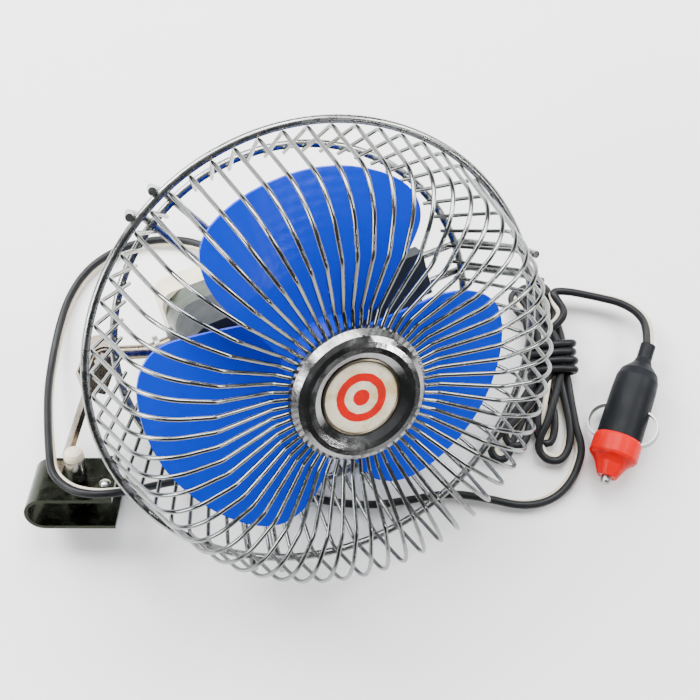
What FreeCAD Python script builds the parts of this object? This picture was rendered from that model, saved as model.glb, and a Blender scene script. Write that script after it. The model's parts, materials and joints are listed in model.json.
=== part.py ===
import FreeCAD, Part
import math
import os

from FreeCAD import Placement, Rotation, Vector

os.makedirs("parts", exist_ok=True)
doc = FreeCAD.newDocument("ClampFan")

# ---------------------------------------------------------------- driving dimensions, millimetres
SIZES = {
    "ring_radius": 90.0, "ring_wire": 1.6, "rear_ring_radius": 74.0, "rear_ring_back": 30.9,
    "wire_radius": 0.8, "wire_count": 60, "stay_radius": 1.5,
    "cap_rim_radius": 25.9, "badge_radius": 13.6, "badge_thick": 1.3, "plate_radius": 24.0,
    "plate_thick": 1.5, "stud_radius": 2.0, "cap_nut_width": 7.0, "cap_nut_thick": 3.0,
    "blade_thick": 1.6, "hub_radius": 16.6, "hub_front": 14.0, "hub_back": 10.0,
    "shaft_radius": 1.5, "shaft_front": 13.0, "shaft_back": 75.5,
    "body_width": 40.0, "body_height": 96.0, "body_shift": 2.0, "body_corner": 12.0, "body_wall": 2.0,
    "gear_corner": 6.0,
    "cover_front": 18.0, "cover_back": 44.0, "band_back": 61.0, "gear_back": 78.5,
    "can_radius": 17.0, "can_wall": 1.2, "core_radius": 12.5, "magnet_inner": 13.2,
    "wheel_side": 10.0, "wheel_back": 69.0, "wheel_radius": 6.9, "wheel_teeth": 30, "worm_radius": 2.9,
    "post_radius": 3.0, "post_back": 58.5, "bush_radius": 6.0, "post_clearance": 0.05,
    "bolt_radius": 2.0, "bolt_clearance": 0.05, "sleeve_radius": 5.5, "sleeve_half": 6.0,
    "jaw_width": 26.0, "jaw_thick": 1.6, "jaw_gap": 12.8, "jaw_reach": 16.0, "jaw_back": 13.0,
    "screw_radius": 2.5, "knob_radius": 4.3, "knob_length": 11.0, "pad_radius": 6.0,
    "cord_radius": 2.5,
    "plug_collar": 10.5, "plug_tip_radius": 2.2,
    "head_x": 17.44, "head_y": 3.27, "head_z": 75.3,
}

sheet = doc.addObject("Spreadsheet::Sheet", "dims")
for row, (alias, number) in enumerate(SIZES.items(), start=1):
    sheet.set(f"A{row}", alias)
    sheet.set(f"B{row}", str(number))
    sheet.setAlias(f"B{row}", alias)
doc.recompute()


def size(alias):
    """The number that the sheet holds under this name."""
    return float(getattr(sheet, alias))


X, Y, Z = Vector(1, 0, 0), Vector(0, 1, 0), Vector(0, 0, 1)

# The head leans back on the table: its own +Z is the fan's axis, +Y points away from the post.
HEAD_TURN = Rotation(Z, -59.2) * Rotation(Y, 42.5) * Rotation(Z, -8.8)
HEAD_BASE = Vector(size("head_x"), size("head_y"), size("head_z"))
HEAD = Placement(HEAD_BASE, HEAD_TURN)

# The clamp lies on its side: its own +Z is the screw's axis, +X runs to the open end of the jaws.
SCREW_LEAN = 38.1
CLAMP_FROM_HEAD = Vector(-102.5, -40.2, -53.9)
CLAMP = Placement(HEAD_BASE + CLAMP_FROM_HEAD, Rotation(X, -SCREW_LEAN))

pieces = []


def keep(obj, label, place=None):
    """Name a finished sub-part, and put it where it belongs."""
    obj.Label = label
    if place is not None:
        obj.Placement = place
    pieces.append(obj)
    return obj


def feature(label, shape, place=HEAD):
    """A sub-part whose shape is worked out here from the sheet's numbers."""
    obj = doc.addObject("Part::Feature", label)
    obj.Shape = shape
    return keep(obj, label, place * shape.Placement)


def cylinder(name, radius, height, base=Vector(), axis=Z):
    """A cylinder bound to the sheet: radius and height are expressions."""
    obj = doc.addObject("Part::Cylinder", name)
    obj.setExpression("Radius", radius)
    obj.setExpression("Height", height)
    obj.Placement = Placement(base, Rotation(Z, axis))
    return obj


def cut(name, base, tool):
    obj = doc.addObject("Part::Cut", name)
    obj.Base = base
    obj.Tool = tool
    return obj


def tube(name, outer, inner, height, base=Vector(), axis=Z):
    """A plain bush: one cylinder cut from another."""
    return cut(name, cylinder(name + "_outside", outer, height, base, axis),
               cylinder(name + "_bore", inner, height, base, axis))


def rod(radius, start, end):
    """A round bar between two points."""
    along = end - start
    return Part.makeCylinder(radius, along.Length, start, along)


def hexagon(width, thick, base, axis):
    """A hexagon nut or bolt head, width across its flats."""
    corner = width / 2 / math.cos(math.pi / 6)
    points = [Vector(corner * math.cos(k * math.pi / 3), corner * math.sin(k * math.pi / 3), 0)
              for k in range(7)]
    solid = Part.Face(Part.makePolygon(points)).extrude(Vector(0, 0, thick))
    solid.Placement = Placement(base, Rotation(Z, axis))
    return solid


# ---------------------------------------------------------------- routes: straight runs and tangent arcs
def run_turn(before, corner, after):
    """How far a route turns at a corner, in radians."""
    return (corner - before).getAngle(after - corner)


def rounded(points, radii):
    """Straight runs joined by tangent arcs, as curves. radii holds one radius for each inner point."""
    curves = []
    start = points[0]
    for before, corner, after, radius in zip(points, points[1:], points[2:], radii):
        half = run_turn(before, corner, after) / 2
        reach = radius * math.tan(half)
        back = (before - corner).normalize()
        ahead = (after - corner).normalize()
        first = corner + back * reach
        last = corner + ahead * reach
        middle = corner + (back + ahead).normalize() * (radius / math.cos(half) - radius)
        if (first - start).Length > 1e-6:
            curves.append(Part.LineSegment(start, first))
        curves.append(Part.Arc(first, middle, last))
        start = last
    curves.append(Part.LineSegment(start, points[-1]))
    return curves


def swept(points, radii, radius):
    """A round bar that follows a rounded route."""
    wire = Part.Wire([curve.toShape() for curve in rounded(points, radii)])
    ring = Part.Wire(Part.makeCircle(radius, points[0], points[1] - points[0]))
    solid = wire.makePipeShell([ring], True, True)
    return solid if solid.ShapeType == "Solid" else Part.Solid(solid)


def cord_tube(label, points, radius):
    """A free cord: each arc as large as its two runs allow."""
    radii = []
    for before, corner, after in zip(points, points[1:], points[2:]):
        shorter = min((corner - before).Length, (after - corner).Length)
        radii.append(0.45 * shorter / math.tan(run_turn(before, corner, after) / 2))
    solid = swept(points, radii, radius)
    length = sum(curve.toShape().Length for curve in rounded(points, radii))
    share = solid.Volume / (math.pi * radius ** 2 * length)
    print(label, "length", round(length, 1), "volume share", round(share, 4),
          "radii", [round(value, 1) for value in radii])
    return feature(label, solid, Placement())


# ---------------------------------------------------------------- turned bodies (PartDesign)
def origin_plane(body, role):
    return next(item for item in body.Origin.OriginFeatures if item.Role == role)


def new_sketch(body, name, role):
    sketch = body.newObject("Sketcher::SketchObject", name)
    sketch.AttachmentSupport = [(origin_plane(body, role), "")]
    sketch.MapMode = "FlatFace"
    return sketch


def closed_outline(sketch, points):
    """A closed outline of straight lines, given as (x, y) pairs."""
    ring = points + [points[0]]
    for here, there in zip(ring, ring[1:]):
        sketch.addGeometry(Part.LineSegment(Vector(*here, 0), Vector(*there, 0)), False)


def turned(label, outline, place=HEAD):
    """A body of revolution: outline is a closed ring of (radius, height) pairs."""
    body = doc.addObject("PartDesign::Body", label)
    sketch = new_sketch(body, label + "_outline", "XZ_Plane")
    closed_outline(sketch, outline)
    turn = body.newObject("PartDesign::Revolution", label + "_turn")
    turn.Profile = sketch
    turn.ReferenceAxis = (sketch, ["V_Axis"])
    turn.Angle = 360
    return keep(body, label, place)


def rounded_outline(sketch, inset, uphill_corner):
    """The housing's rounded rectangle, drawn inset from its outer size; its -X corners may be sharper."""
    half_x = size("body_width") / 2 - inset
    half_y = size("body_height") / 2 - inset
    radii = {1: size("body_corner") - inset, -1: uphill_corner - inset}
    right, left = radii[1], radii[-1]
    shift = size("body_shift")
    quarter = math.pi / 2
    for k, (side_x, side_y) in enumerate([(1, 1), (-1, 1), (-1, -1), (1, -1)]):
        radius = radii[side_x]
        centre = Vector(side_x * (half_x - radius), shift + side_y * (half_y - radius), 0)
        circle = Part.Circle(centre, Z, radius)
        sketch.addGeometry(Part.ArcOfCircle(circle, k * quarter, (k + 1) * quarter), False)
    low, high = shift - half_y, shift + half_y
    for here, there in [((half_x - right, high), (left - half_x, high)),
                        ((-half_x, high - left), (-half_x, low + left)),
                        ((left - half_x, low), (half_x - right, low)),
                        ((half_x, low + right), (half_x, high - right))]:
        sketch.addGeometry(Part.LineSegment(Vector(*here, 0), Vector(*there, 0)), False)


def housing_shell(name, front, back, floor_at=None, corner="body_corner"):
    """A stretch of the housing between two depths: a wall, and a floor at one end if floor_at says so."""
    body = doc.addObject("PartDesign::Body", name)
    outer = new_sketch(body, name + "_outer", "XY_Plane")
    outer.AttachmentOffset = Placement(Vector(0, 0, -size(back)), Rotation())
    rounded_outline(outer, 0, size(corner))
    pad = body.newObject("PartDesign::Pad", name + "_pad")
    pad.Profile = outer
    pad.setExpression("Length", f"dims.{back} - dims.{front}")
    inner = new_sketch(body, name + "_inner", "XY_Plane")
    wall = size("body_wall")
    depth_back = size(back) - (wall if floor_at == "back" else 0)
    inner.AttachmentOffset = Placement(Vector(0, 0, -depth_back), Rotation())
    rounded_outline(inner, wall, size(corner))
    pocket = body.newObject("PartDesign::Pocket", name + "_pocket")
    pocket.Profile = inner
    walls = "" if floor_at is None else " - dims.body_wall"
    pocket.setExpression("Length", f"dims.{back} - dims.{front}" + walls)
    pocket.Reversed = True
    return body


# ================================================================ guard
wire = size("wire_radius")
front_ring = doc.addObject("Part::Torus", "front_ring")
front_ring.setExpression("Radius1", "dims.ring_radius")
front_ring.setExpression("Radius2", "dims.ring_wire")
keep(front_ring, "front_ring", HEAD)

rear_ring = doc.addObject("Part::Torus", "rear_ring")
rear_ring.setExpression("Radius1", "dims.rear_ring_radius")
rear_ring.setExpression("Radius2", "dims.ring_wire")
keep(rear_ring, "rear_ring", HEAD * Placement(Vector(0, 0, -size("rear_ring_back")), Rotation()))

GUARD_PROFILE = [(19.6, 38.6), (32.3, 38.6), (53.8, 46.6), (79.2, 44.0), (88.0, 0.0), (71.0, -31.6)]
GUARD_BENDS = [5, 8, 21, 8]
guard_route = [Vector(radius, 0, height) for radius, height in GUARD_PROFILE]
one_wire = swept(guard_route, GUARD_BENDS, wire)
wires = []
for k in range(int(size("wire_count"))):
    turned_wire = one_wire.copy()
    turned_wire.rotate(Vector(), Z, 360 * k / size("wire_count"))
    wires.append(turned_wire)
feature("guard_wires", Part.makeCompound(wires))
WIRE_TOP = GUARD_PROFILE[0][1] + wire
WIRE_UNDER = GUARD_PROFILE[0][1] - wire

# three hairpins carry the guard: each loops out of a lug on the motor cover to both rings
STAY_BACK = 34.2
STAY_HALF = 6.0
LUG_HALF = 9.5
LUG_THICK = 8.0
STAYS = [("guard_stay_top", 90, 47.0), ("guard_stay_left", 210, 17.5), ("guard_stay_right", 330, 17.5)]
stays = []
lugs = []
for label, angle, lug_start in STAYS:
    loop = lug_start + 7
    side = [Vector(93.6, STAY_HALF, 3.0), Vector(91.2, STAY_HALF, -8.0), Vector(77.5, STAY_HALF, -STAY_BACK),
            Vector(loop, STAY_HALF, -STAY_BACK)]
    other = [Vector(point.x, -point.y, point.z) for point in reversed(side)]
    hairpin = swept(side + other, [12, 6, 4, 4, 6, 12], size("stay_radius"))
    hairpin.rotate(Vector(), Z, angle)
    feature(label, hairpin)
    stays.append(hairpin)
    lug = Part.makeBox(12, 2 * LUG_HALF, LUG_THICK, Vector(lug_start, -LUG_HALF, -STAY_BACK - LUG_THICK / 2))
    lug.rotate(Vector(), Z, angle)
    lugs.append(lug)

# ---------------------------------------------------------------- hub cap, badge and its fastening
rim = size("cap_rim_radius")
turned("hub_cap", [(rim, WIRE_TOP), (rim - 0.3, 41.2), (rim - 2.2, 43.9), (rim - 4.0, 45.0), (rim - 5.9, 45.3),
                   (rim - 8.2, 44.9), (15.0, 43.4), (14.9, 41.9), (0.0, 41.9), (0.0, 41.1), (15.9, 41.1),
                   (16.0, 42.6), (rim - 8.0, 44.0), (rim - 5.9, 44.4), (rim - 4.2, 44.1),
                   (rim - 2.8, 43.3), (rim - 1.2, 41.0), (rim - 1.2, WIRE_TOP)])
badge_base = Vector(0, 0, 41.9)
badge = cylinder("badge", "dims.badge_radius", "dims.badge_thick")
keep(badge, "badge", HEAD * Placement(badge_base, Rotation()))
turned("badge_bezel", [(13.65, 41.9), (14.85, 41.9), (14.85, 43.6), (14.4, 43.9), (13.9, 43.8),
                       (13.65, 43.4)])
plate_low = WIRE_UNDER - size("plate_thick")
hub_plate = tube("hub_plate", "dims.plate_radius", "dims.stud_radius", "dims.plate_thick")
keep(hub_plate, "hub_plate", HEAD * Placement(Vector(0, 0, plate_low), Rotation()))
nut_low = plate_low - size("cap_nut_thick")
feature("cap_stud", rod(size("stud_radius"), Vector(0, 0, nut_low - 1.5), Vector(0, 0, 41.1)))
cap_nut = hexagon(size("cap_nut_width"), size("cap_nut_thick"), Vector(0, 0, nut_low), Z)
feature("cap_nut", cap_nut.cut(rod(size("stud_radius"), Vector(0, 0, nut_low), Vector(0, 0, plate_low))))

# ================================================================ impeller
BLADE_OUTLINE = [(14, 96), (30, 108), (42, 116), (54, 121.5), (64, 126), (70, 133), (73, 147), (73.8, 165),
                 (73.5, 181), (73, 195), (69.5, 208), (58, 217), (45, 222), (33, 226), (22, 236), (14, 250)]
BLADE_MIDDLE = 164.0
BLADE_RISE = 0.12
BLADE_MID_HEIGHT = 3.0
BLADE_CUP = 0.5


def polar(radius, degrees, height=0.0):
    angle = math.radians(degrees)
    return Vector(radius * math.cos(angle), radius * math.sin(angle), height)


def blade():
    """A twisted slab trimmed by the blade's rounded outline."""
    half = size("blade_thick") / 2
    sections = []
    for angle in range(86, 263, 16):
        rise = BLADE_MID_HEIGHT + BLADE_RISE * (angle - BLADE_MIDDLE)
        tip_rise = rise + BLADE_CUP
        corners = [polar(8, angle, rise - half), polar(80, angle, tip_rise - half),
                   polar(80, angle, tip_rise + half), polar(8, angle, rise + half)]
        sections.append(Part.makePolygon(corners + [corners[0]]))
    slab = Part.makeLoft(sections, True, False)
    curve = Part.BSplineCurve()
    curve.interpolate([polar(*point, -20) for point in BLADE_OUTLINE])
    edge = Part.LineSegment(curve.EndPoint, curve.StartPoint)
    prism = Part.Face(Part.Wire([curve.toShape(), edge.toShape()])).extrude(Vector(0, 0, 40))
    return slab.common(prism)


hub_radius = size("hub_radius")
hub_profile = [Vector(0, 0, -size("hub_back")), Vector(hub_radius, 0, -size("hub_back")),
               Vector(hub_radius, 0, size("hub_front") - 4), Vector(hub_radius - 4, 0, size("hub_front")),
               Vector(0, 0, size("hub_front")), Vector(0, 0, -size("hub_back"))]
hub = Part.Face(Part.makePolygon(hub_profile)).revolve(Vector(), Z, 360)
hub = hub.cut(rod(hub_radius - 2.5, Vector(0, 0, -size("hub_back")), Vector(0, 0, -1)))
hub = hub.fuse(rod(5, Vector(0, 0, -size("hub_back")), Vector(0, 0, 0)))
first_blade = blade().cut(rod(hub_radius - 1, Vector(0, 0, -30), Vector(0, 0, 30)))
impeller = hub
for k in range(3):
    one = first_blade.copy()
    one.rotate(Vector(), Z, 120 * k)
    impeller = impeller.fuse(one)
shaft_radius = size("shaft_radius")
shaft_front = Vector(0, 0, size("shaft_front"))
shaft_back = Vector(0, 0, -size("shaft_back"))
GRUB_HEIGHT = -6.0
grub = rod(1.5, Vector(shaft_radius + 0.05, 0, GRUB_HEIGHT), Vector(5, 0, GRUB_HEIGHT))
impeller = impeller.cut(rod(shaft_radius, shaft_back, shaft_front)).cut(grub).removeSplitter()
feature("impeller", impeller)
feature("grub_screw", grub.cut(rod(shaft_radius, shaft_back, shaft_front)))
rotor_shaft = cylinder("rotor_shaft", "dims.shaft_radius", "dims.shaft_front + dims.shaft_back")
keep(rotor_shaft, "rotor_shaft", HEAD * Placement(shaft_back, Rotation()))

# ================================================================ motor
CORE_FRONT, CORE_BACK = -32.0, -50.0
COMMUTATOR_FRONT, COMMUTATOR_BACK = -52.5, -57.0
WORM_FRONT, WORM_BACK = -63.5, -74.0
CAN_FRONT, CAN_BACK, END_CAP_BACK = -25.2, -58.0, -59.5
BEARING_LENGTH, BEARING_RADIUS = 3.6, 3.6
MAGNET_LENGTH, MAGNET_ANGLE = 22.0, 110
core = rod(size("core_radius"), Vector(0, 0, CORE_BACK), Vector(0, 0, CORE_FRONT))
coils = []
for k in range(3):
    slot = Part.makeBox(9.5, 3.0, CORE_FRONT - CORE_BACK, Vector(4.0, -1.5, CORE_BACK))
    coil = Part.makeBox(7.5, 2.6, CORE_FRONT - CORE_BACK + 3, Vector(4.4, -1.3, CORE_BACK - 1.5))
    slot.rotate(Vector(), Z, 120 * k)
    coil.rotate(Vector(), Z, 120 * k)
    core = core.cut(slot)
    coils.append(coil)
feature("rotor_core", core.cut(rod(shaft_radius, shaft_back, shaft_front)))
feature("windings", Part.makeCompound(coils))
commutator = rod(4, Vector(0, 0, COMMUTATOR_BACK), Vector(0, 0, COMMUTATOR_FRONT))
feature("commutator", commutator.cut(rod(shaft_radius, shaft_back, shaft_front)))
worm = rod(size("worm_radius"), Vector(0, 0, WORM_BACK), Vector(0, 0, WORM_FRONT))
feature("worm", worm.cut(rod(shaft_radius, shaft_back, shaft_front)))

can = size("can_radius")
can_wall = size("can_wall")
bore = shaft_radius + 0.05
can_inner = can - can_wall
turned("motor_can", [(BEARING_RADIUS, CAN_FRONT), (can, CAN_FRONT), (can, CAN_BACK), (can_inner, CAN_BACK),
                     (can_inner, CAN_FRONT - can_wall), (BEARING_RADIUS, CAN_FRONT - can_wall)])
turned("motor_end_cap", [(BEARING_RADIUS, CAN_BACK), (can, CAN_BACK), (can, END_CAP_BACK),
                         (BEARING_RADIUS, END_CAP_BACK)])
for label, front in (("front_bearing", CAN_FRONT + 1.2), ("rear_bearing", CAN_BACK + 0.4)):
    turned(label, [(bore, front), (BEARING_RADIUS, front), (BEARING_RADIUS, front - BEARING_LENGTH),
                   (bore, front - BEARING_LENGTH)])
magnets = []
for middle in (0, 180):
    sleeve_outer = Part.makeCylinder(can_inner - 0.05, MAGNET_LENGTH)
    ring_solid = sleeve_outer.cut(Part.makeCylinder(size("magnet_inner"), MAGNET_LENGTH))
    wedge = Part.makeCylinder(30, MAGNET_LENGTH, Vector(), Z, MAGNET_ANGLE)
    wedge.rotate(Vector(), Z, middle - MAGNET_ANGLE / 2)
    magnet = ring_solid.common(wedge)
    magnet.translate(Vector(0, 0, -52))
    magnets.append(magnet)
feature("magnets", Part.makeCompound(magnets))
brushes = [Part.makeBox(6, 3, 2.5, Vector(x, -1.5, -56)) for x in (4.15, -10.15)]
feature("brushes", Part.makeCompound(brushes))

# ================================================================ housing
post_back = size("post_back")
bush_hole = rod(size("bush_radius"), Vector(0, -30, -post_back), Vector(0, -60, -post_back))


def finished_housing(body, label, cutters, extras=()):
    """The last cuts of a housing piece that cross its neighbours' shapes."""
    doc.recompute()
    shape = body.Shape.copy()
    for extra in extras:
        shape = shape.fuse(extra)
    for cutter in cutters:
        shape = shape.cut(cutter)
    return feature(label, shape)


inside = housing_shell("inner_space", "cover_front", "cover_back", "front")
doc.recompute()
box_corner = Vector(-size("body_width") / 2, size("body_shift") - size("body_height") / 2, -70)
outer_box = Part.makeBox(size("body_width") - 3, size("body_height") - 3, 60, box_corner + Vector(1.5, 1.5, 0))
outside_lugs = [lug.cut(outer_box) for lug in lugs]
shaft_hole = rod(3.0, Vector(0, 0, -26), Vector(0, 0, -10))
vent_slot = Part.makeBox(1.8, 12, 4, Vector(-15.5, -42, -size("cover_front") - 3))
finished_housing(inside, "motor_front_cover", [shaft_hole, vent_slot] + stays, outside_lugs)
finished_housing(housing_shell("band_blank", "cover_back", "band_back"), "motor_band",
                        [bush_hole] + lugs + stays)
CORD_EXIT = Vector(-13.0, -12.0, -size("gear_back"))
cord_hole = rod(3.6, CORD_EXIT + Vector(0, 0, 4), CORD_EXIT - Vector(0, 0, 1))
wheel_axis = Vector(size("wheel_side"), 0, -size("wheel_back"))
wheel_hole = rod(1.55, wheel_axis + Vector(0, -30, 0), wheel_axis + Vector(0, -60, 0))
SWITCH_AT = Vector(0, 30, -size("gear_back"))
switch_hole = Part.makeBox(5, 10, 4, SWITCH_AT - Vector(2.5, 5, 1))
cover_screws = []
for x, y in ((-14, 40), (14, 40), (-14, -26), (14, -26)):
    head = rod(2.6, Vector(x, y, -size("gear_back") - 1.6), Vector(x, y, -size("gear_back")))
    cover_screws.append(head.fuse(rod(1.4, Vector(x, y, -size("gear_back")), Vector(x, y, -64))))
finished_housing(housing_shell("gear_blank", "band_back", "gear_back", "back", "gear_corner"),
                              "gear_cover",
                              [bush_hole, cord_hole, wheel_hole, switch_hole] + cover_screws)
plate_box = Part.makeBox(35.8, 91.8, 1.5, Vector(-17.9, size("body_shift") - 45.9, -size("band_back")))
plate_hole = rod(3.6, Vector(0, 0, -65), Vector(0, 0, -55))
feature("motor_plate", plate_box.makeFillet(9.9, [edge for edge in plate_box.Edges if edge.Length < 1.6]).cut(
    plate_hole).cut(rod(6.6, Vector(0, -25, -post_back), Vector(0, -60, -post_back))))
feature("cover_screws", Part.makeCompound(cover_screws))
post_bore_radius = size("post_radius") + size("post_clearance")
feature("swivel_bush", rod(size("bush_radius"), Vector(0, -31, -post_back), Vector(0, -48, -post_back)).cut(
    rod(post_bore_radius, Vector(0, -20, -post_back), Vector(0, -60, -post_back))))
slider = Part.makeBox(4.4, 5, 4, SWITCH_AT - Vector(2.2, 4.7, 2.5))
feature("switch_slider", slider)

# ---------------------------------------------------------------- worm wheel, crank and link
wheel = rod(size("wheel_radius") - 0.7, wheel_axis - Vector(0, 2.5, 0), wheel_axis + Vector(0, 2.5, 0))
teeth = int(size("wheel_teeth"))
for k in range(teeth):
    tooth = Part.makeBox(1.4, 5, 0.8, Vector(size("wheel_radius") - 1.4, -2.5, -0.4))
    tooth.rotate(Vector(), Y, 360 * (k + 0.5) / teeth)
    tooth.translate(wheel_axis)
    wheel = wheel.fuse(tooth)
wheel_shaft = rod(1.5, wheel_axis + Vector(0, 6, 0), wheel_axis - Vector(0, 49, 0))
feature("worm_wheel", wheel.cut(wheel_shaft).removeSplitter())
feature("wheel_shaft", wheel_shaft)
CRANK_TOP = -47.0
crank_disc = rod(6, wheel_axis + Vector(0, CRANK_TOP, 0), wheel_axis + Vector(0, CRANK_TOP - 2, 0))
PIN_TOP = wheel_axis + Vector(-4.2, CRANK_TOP - 2, 0)
crank_pin = rod(1.1, PIN_TOP, PIN_TOP - Vector(0, 1.6, 0))
feature("crank_disc", crank_disc.cut(wheel_shaft).fuse(crank_pin))
LINK_TOP = CRANK_TOP - 4.0
LINK_PIN = Vector(7.9, LINK_TOP, -57.1)
link_far = wheel_axis + Vector(-1.5, LINK_TOP, 0)


def link_bar(thick):
    """A flat bar with two round ends, an eye at the post's lug and one under the crank pin."""
    down = Vector(0, -thick, 0)
    along = link_far - LINK_PIN
    across = along.cross(Y).normalize() * 2
    corners = [LINK_PIN + across, link_far + across, link_far - across, LINK_PIN - across]
    bar = Part.Face(Part.makePolygon(corners + [corners[0]])).extrude(down)
    bar = bar.fuse(rod(2, LINK_PIN, LINK_PIN + down)).fuse(rod(2.6, link_far, link_far + down))
    bar = bar.cut(rod(1.25, LINK_PIN, LINK_PIN + down)).cut(rod(1.25, link_far, link_far + down))
    return bar.removeSplitter()


feature("crank_link", link_bar(1.0))

# ================================================================ post, yoke and arm
POST_TOP = Vector(0, -27, -post_back)
POST_BEND = Vector(0, -58, -post_back)
TILT_POINT = Vector(-6.7, -76, -post_back)
post_radius = size("post_radius")
sleeve_axis = Vector(0, 0, size("sleeve_half"))
post = swept([POST_TOP, POST_BEND, TILT_POINT], [12], post_radius)
sleeve = rod(size("sleeve_radius"), TILT_POINT - sleeve_axis, TILT_POINT + sleeve_axis)
tilt_bore_radius = size("bolt_radius") + size("bolt_clearance")
tilt_bore = rod(tilt_bore_radius, TILT_POINT - sleeve_axis, TILT_POINT + sleeve_axis)
feature("post", post.fuse(sleeve).cut(tilt_bore))
feature("post_flange", rod(5, Vector(0, -28.5, -post_back), Vector(0, -30.7, -post_back)).cut(
    rod(post_radius, Vector(0, -20, -post_back), Vector(0, -60, -post_back))))
COLLAR_TOP, COLLAR_LOW = -52.4, -54.4
collar = rod(5, Vector(0, COLLAR_TOP, -post_back), Vector(0, COLLAR_LOW, -post_back))
lug_bar = Part.makeBox(8, 2, 4, Vector(2, COLLAR_LOW, -post_back - 0.6))
collar = collar.fuse(lug_bar).cut(rod(post_radius, Vector(0, -40, -post_back), Vector(0, -57, -post_back)))
lug_foot = Vector(LINK_PIN.x, COLLAR_TOP, LINK_PIN.z)
lug_pin = rod(1.2, lug_foot, lug_foot + Vector(0, 1.8, 0))
feature("post_collar", collar.fuse(lug_pin).removeSplitter())

ARM_ANGLE = -38.0
arm_dir = polar(1, ARM_ANGLE)
arm_side = Z.cross(arm_dir)
CHEEK_IN, CHEEK_OUT, YOKE_LONG, YOKE_WIDE = 6.3, 8.3, 14.0, 10.0


def in_arm(along, aside, depth):
    """A point in the arm's own directions, counted from the tilt bolt."""
    return TILT_POINT + arm_dir * along + arm_side * aside + Z * depth


def arm_box(low, high):
    """A box in the arm's own directions, counted from the tilt bolt."""
    box = Part.makeBox(high[0] - low[0], high[1] - low[1], high[2] - low[2], Vector(*low))
    box.Placement = Placement(TILT_POINT, Rotation(Z, ARM_ANGLE))
    return box


half_wide = YOKE_WIDE / 2
yoke = arm_box((YOKE_LONG - 2, -half_wide, -CHEEK_OUT), (YOKE_LONG, half_wide, CHEEK_OUT))
for low, high in ((CHEEK_IN, CHEEK_OUT), (-CHEEK_OUT, -CHEEK_IN)):
    yoke = yoke.fuse(arm_box((0, -half_wide, low), (YOKE_LONG, half_wide, high)))
    yoke = yoke.fuse(rod(half_wide, TILT_POINT + Z * low, TILT_POINT + Z * high))
bolt_line = rod(size("bolt_radius"), TILT_POINT - Z * CHEEK_OUT, TILT_POINT + Z * 16)
feature("yoke", yoke.cut(bolt_line).removeSplitter())
feature("tilt_bolt", bolt_line.fuse(hexagon(7, 2.8, TILT_POINT - Z * (CHEEK_OUT + 2.8), Z)))
feature("tilt_nut", hexagon(8, 4, TILT_POINT + Z * CHEEK_OUT, Z).cut(bolt_line))

# The arm runs from the yoke to the clamp, and its foot turns flat onto the jaw.
to_clamp = HEAD.inverse() * CLAMP
ARM_HALF_WIDE, ARM_HALF_THICK = 4.0, 1.0
FOOT_SIDE = 5.0


def strap_section(centre, wide, thick):
    corners = [centre + wide + thick, centre + wide - thick, centre - wide - thick, centre - wide + thick]
    return Part.makePolygon(corners + [corners[0]])


def clamp_vector(x, y, z):
    return to_clamp.Rotation.multVec(Vector(x, y, z))


foot_low = to_clamp.multVec(Vector(-12.5, FOOT_SIDE, ARM_HALF_THICK))
foot_high = to_clamp.multVec(Vector(-6.8, FOOT_SIDE, ARM_HALF_THICK))
arm_top = in_arm(YOKE_LONG, 0, 0)
arm_line = (foot_high - arm_top).normalize()
arm_knee = foot_high - arm_line * 4 + clamp_vector(0, 0, 0.6)
flat_wide = clamp_vector(0, -ARM_HALF_WIDE, 0)
flat_thick = clamp_vector(0, 0, ARM_HALF_THICK)
wide_up = Z * ARM_HALF_WIDE
knee_side = arm_line.cross(Z).normalize() * ARM_HALF_THICK
if knee_side.dot(flat_thick) < 0:
    knee_side = knee_side * -1
arm_steps = [strap_section(arm_top, wide_up, knee_side), strap_section(arm_knee, wide_up, knee_side),
             strap_section(foot_high, flat_wide, flat_thick), strap_section(foot_low, flat_wide, flat_thick)]
arm_parts = [Part.makeLoft([here, there], True, True) for here, there in zip(arm_steps, arm_steps[1:])]
arm_strap = arm_parts[0].fuse(arm_parts[1:]).cut(arm_box((-20, -20, -20), (YOKE_LONG, 20, 20)))
arm_strap = arm_strap.cut(Part.makeBox(60, 60, 20, Vector(-30, -30, -20)).transformGeometry(to_clamp.Matrix))
feature("arm_strap", arm_strap)

# ================================================================ clamp, in its own directions
half_jaw = size("jaw_width") / 2
jaw_thick = size("jaw_thick")
back_outer = size("jaw_gap") / 2 + jaw_thick
back_x = -size("jaw_back")
lower_top = -jaw_thick - size("jaw_gap")
lower_face = -2 * back_outer
tips_x = size("jaw_reach")
jaw_profile = [Part.LineSegment(Vector(tips_x, 0, 0), Vector(back_x, 0, 0)),
               Part.Arc(Vector(back_x, 0, 0), Vector(back_x - back_outer, 0, -back_outer),
                        Vector(back_x, 0, lower_face)),
               Part.LineSegment(Vector(back_x, 0, lower_face), Vector(tips_x, 0, lower_face)),
               Part.LineSegment(Vector(tips_x, 0, lower_face), Vector(tips_x, 0, lower_top)),
               Part.LineSegment(Vector(tips_x, 0, lower_top), Vector(back_x, 0, lower_top)),
               Part.Arc(Vector(back_x, 0, lower_top), Vector(back_x - back_outer + jaw_thick, 0, -back_outer),
                        Vector(back_x, 0, -jaw_thick)),
               Part.LineSegment(Vector(back_x, 0, -jaw_thick), Vector(tips_x, 0, -jaw_thick)),
               Part.LineSegment(Vector(tips_x, 0, -jaw_thick), Vector(tips_x, 0, 0))]
jaw_face = Part.Face(Part.Wire([curve.toShape() for curve in jaw_profile]))
c_clamp = jaw_face.extrude(Vector(0, size("jaw_width"), 0))
c_clamp.translate(Vector(0, -half_jaw, 0))
screw_radius = size("screw_radius")
screw_gap = 0.06
SHOE_START, SHOE_THICK = 8.6, 1.2
RIVET_AT = Vector(12.0, -3.7, 0)
screw_hole = rod(screw_radius + 0.4, Vector(0, 0, 1), Vector(0, 0, -3))
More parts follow.
